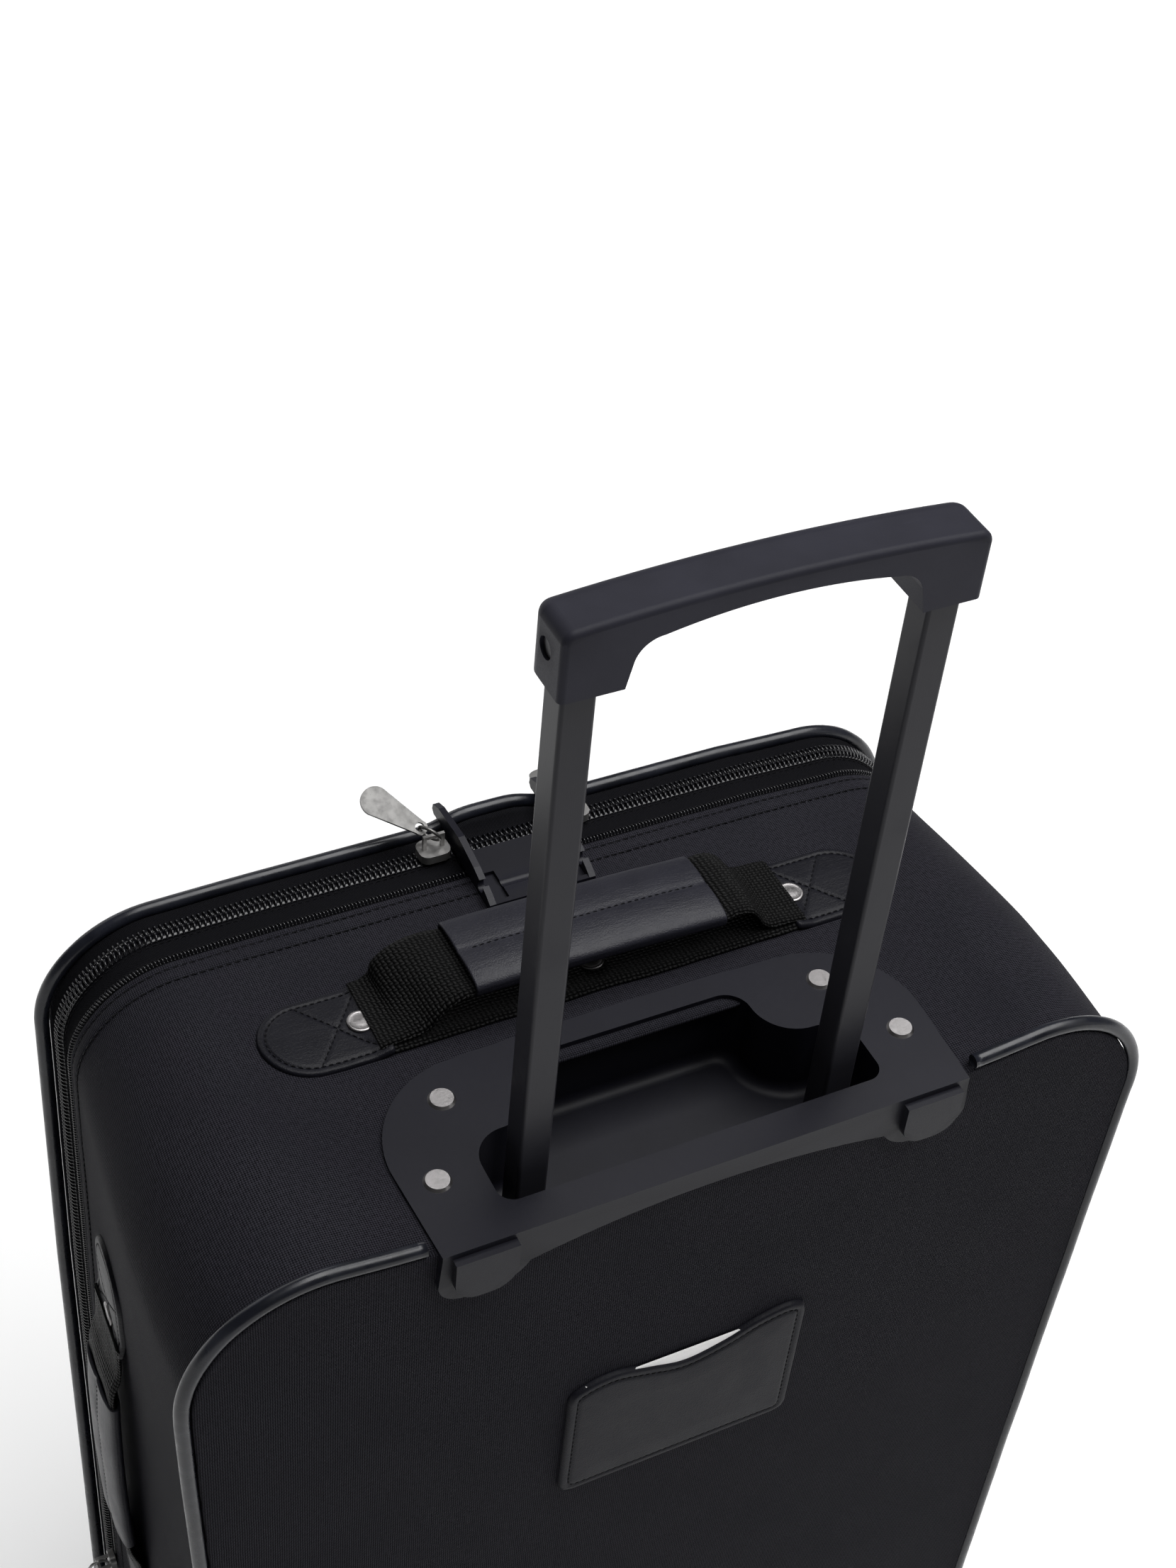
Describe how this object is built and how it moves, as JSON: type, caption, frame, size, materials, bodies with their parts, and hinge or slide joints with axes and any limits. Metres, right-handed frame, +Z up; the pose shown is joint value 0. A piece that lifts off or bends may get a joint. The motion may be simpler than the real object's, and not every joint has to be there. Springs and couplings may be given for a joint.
{
  "type": "softside upright suitcase",
  "caption": "Softside upright suitcase with a telescopic trolley handle, zipped lid with pockets, carry handles and rear wheels.",
  "frame": {"origin": "centre of the footprint on the floor", "axes": "+Z up, +Y towards the trolley-handle side, -Y towards the pocket side, +X towards the side carry handle"},
  "size_m": [0.3631, 0.2257, 0.7495],
  "materials": {
    "shell_fabric": "black woven polyester, fine diagonal rib, low sheen",
    "tape_fabric": "black herringbone zip tape",
    "coil": "black nylon zip coil, glossy",
    "piping": "black soft vinyl piping, semi-gloss",
    "webbing": "black coarse basket-weave webbing",
    "vinyl": "blue-black grained leathercloth with stitched edges",
    "moulding": "blue-black moulded plastic, fine satin texture",
    "tube": "satin black painted aluminium tube",
    "nickel": "nickel-plated, softly brushed",
    "bright": "bright nickel die-cast",
    "screw": "blackened steel screw",
    "card": "plain white card",
    "lining": "thin dark grey lining cloth",
    "board": "stiff grey board",
    "hub": "black nylon hub",
    "tyre": "black polyurethane tyre"
  },
  "bodies": {
    "case": {"back_panel": "shell_fabric", "gusset": "shell_fabric", "rear_piping": "piping", "zip_tape_body": "tape_fabric", "zip_coil_body": "coil", "expander_coil": "coil", "hinge_strip": "shell_fabric", "liner": "lining", "base_board": "board", "handle_bezel": "moulding", "bezel_rivets": "nickel", "outer_tube_left": "tube", "outer_tube_right": "tube", "tube_bracket": "moulding", "webbing_strip": "webbing", "patch_left": "vinyl", "patch_right": "vinyl", "handle_rivets": "nickel", "side_patches": "vinyl", "side_rivets": "nickel", "id_holder": "vinyl", "id_card": "card", "lock_dock": "moulding", "wheel_housing_left": "moulding", "wheel_housing_right": "moulding", "axles": "nickel", "front_feet": "moulding"},
    "trolley": {"inner_tube_left": "tube", "inner_tube_right": "tube", "grip": "moulding", "grip_screws": "screw", "tube_plugs": "moulding"},
    "carry_handle": {"carry_webbing": "webbing", "carry_sleeve": "vinyl"},
    "side_handle": {"side_webbing": "webbing", "side_sleeve": "vinyl"},
    "lid": {"lid_panel": "shell_fabric", "lid_piping": "piping", "zip_tape_lid": "tape_fabric", "zip_coil_lid": "coil", "lid_liner": "lining", "lower_pocket": "shell_fabric", "lower_pocket_zip": "coil", "upper_pocket": "shell_fabric", "upper_pocket_zip": "coil"},
    "slider_left": {"slider_left": "bright"},
    "pull_left": {"pull_left": "bright"},
    "slider_right": {"slider_right": "bright"},
    "pull_right": {"pull_right": "bright"},
    "expander_slider": {"expander_slider": "bright"},
    "expander_pull": {"expander_pull": "bright"},
    "lower_pocket_slider": {"lower_pocket_slider": "bright"},
    "lower_pocket_pull": {"lower_pocket_pull": "bright"},
    "upper_pocket_slider": {"upper_pocket_slider": "bright"},
    "upper_pocket_pull": {"upper_pocket_pull": "bright"},
    "wheel_left": {"hub_left": "hub", "tyre_left": "tyre"},
    "wheel_right": {"hub_right": "hub", "tyre_right": "tyre"}
  },
  "joints": [
    {"name": "trolley_slide", "type": "slide", "parent": "case", "child": "trolley", "axis": [0, 0, 1], "range_m": [-0.228, 0.15]},
    {"name": "lid_hinge", "type": "hinge", "parent": "case", "child": "lid", "pos_m": [0, -0.07, 0.038], "axis": [1, 0, 0], "range_deg": [0, 85]},
    {"name": "carry_handle_lift", "type": "slide", "parent": "case", "child": "carry_handle", "axis": [0, 0, 1], "range_m": [0, 0.012]},
    {"name": "side_handle_pull", "type": "slide", "parent": "case", "child": "side_handle", "axis": [1, 0, 0], "range_m": [0, 0.012]},
    {"name": "slider_left_run", "type": "slide", "parent": "case", "child": "slider_left", "axis": [1, 0, 0], "range_m": [0, 0.08]},
    {"name": "slider_right_run", "type": "slide", "parent": "case", "child": "slider_right", "axis": [-1, 0, 0], "range_m": [0, 0.08]},
    {"name": "pull_left_flip", "type": "hinge", "parent": "slider_left", "child": "pull_left", "pos_m": [0.0285, -0.061, 0.5279], "axis": [-0.6561, -0.7547, 0], "range_deg": [0, 100]},
    {"name": "pull_right_flip", "type": "hinge", "parent": "slider_right", "child": "pull_right", "pos_m": [-0.0278, -0.061, 0.5279], "axis": [-0.9994, -0.0349, 0], "range_deg": [0, 125]},
    {"name": "expander_slider_run", "type": "slide", "parent": "case", "child": "expander_slider", "axis": [0, 0, 1], "range_m": [-0.04, 0.26]},
    {"name": "expander_pull_flip", "type": "hinge", "parent": "expander_slider", "child": "expander_pull", "pos_m": [0.1806, -0.048, 0.15], "axis": [0, -1, 0], "range_deg": [0, 125]},
    {"name": "lower_pocket_slider_run", "type": "slide", "parent": "lid", "child": "lower_pocket_slider", "axis": [-1, 0, 0], "range_m": [0, 0.19]},
    {"name": "lower_pocket_pull_flip", "type": "hinge", "parent": "lower_pocket_slider", "child": "lower_pocket_pull", "pos_m": [0.096, -0.1113, 0.276], "axis": [-1, 0, 0], "range_deg": [0, 125]},
    {"name": "upper_pocket_slider_run", "type": "slide", "parent": "lid", "child": "upper_pocket_slider", "axis": [-1, 0, 0], "range_m": [0, 0.19]},
    {"name": "upper_pocket_pull_flip", "type": "hinge", "parent": "upper_pocket_slider", "child": "upper_pocket_pull", "pos_m": [0.096, -0.1033, 0.44], "axis": [-1, 0, 0], "range_deg": [0, 125]},
    {"name": "wheel_left_spin", "type": "hinge", "parent": "case", "child": "wheel_left", "pos_m": [0.122, 0.084, 0.025], "axis": [1, 0, 0], "continuous": true},
    {"name": "wheel_right_spin", "type": "hinge", "parent": "case", "child": "wheel_right", "pos_m": [-0.122, 0.084, 0.025], "axis": [1, 0, 0], "continuous": true}
  ]
}
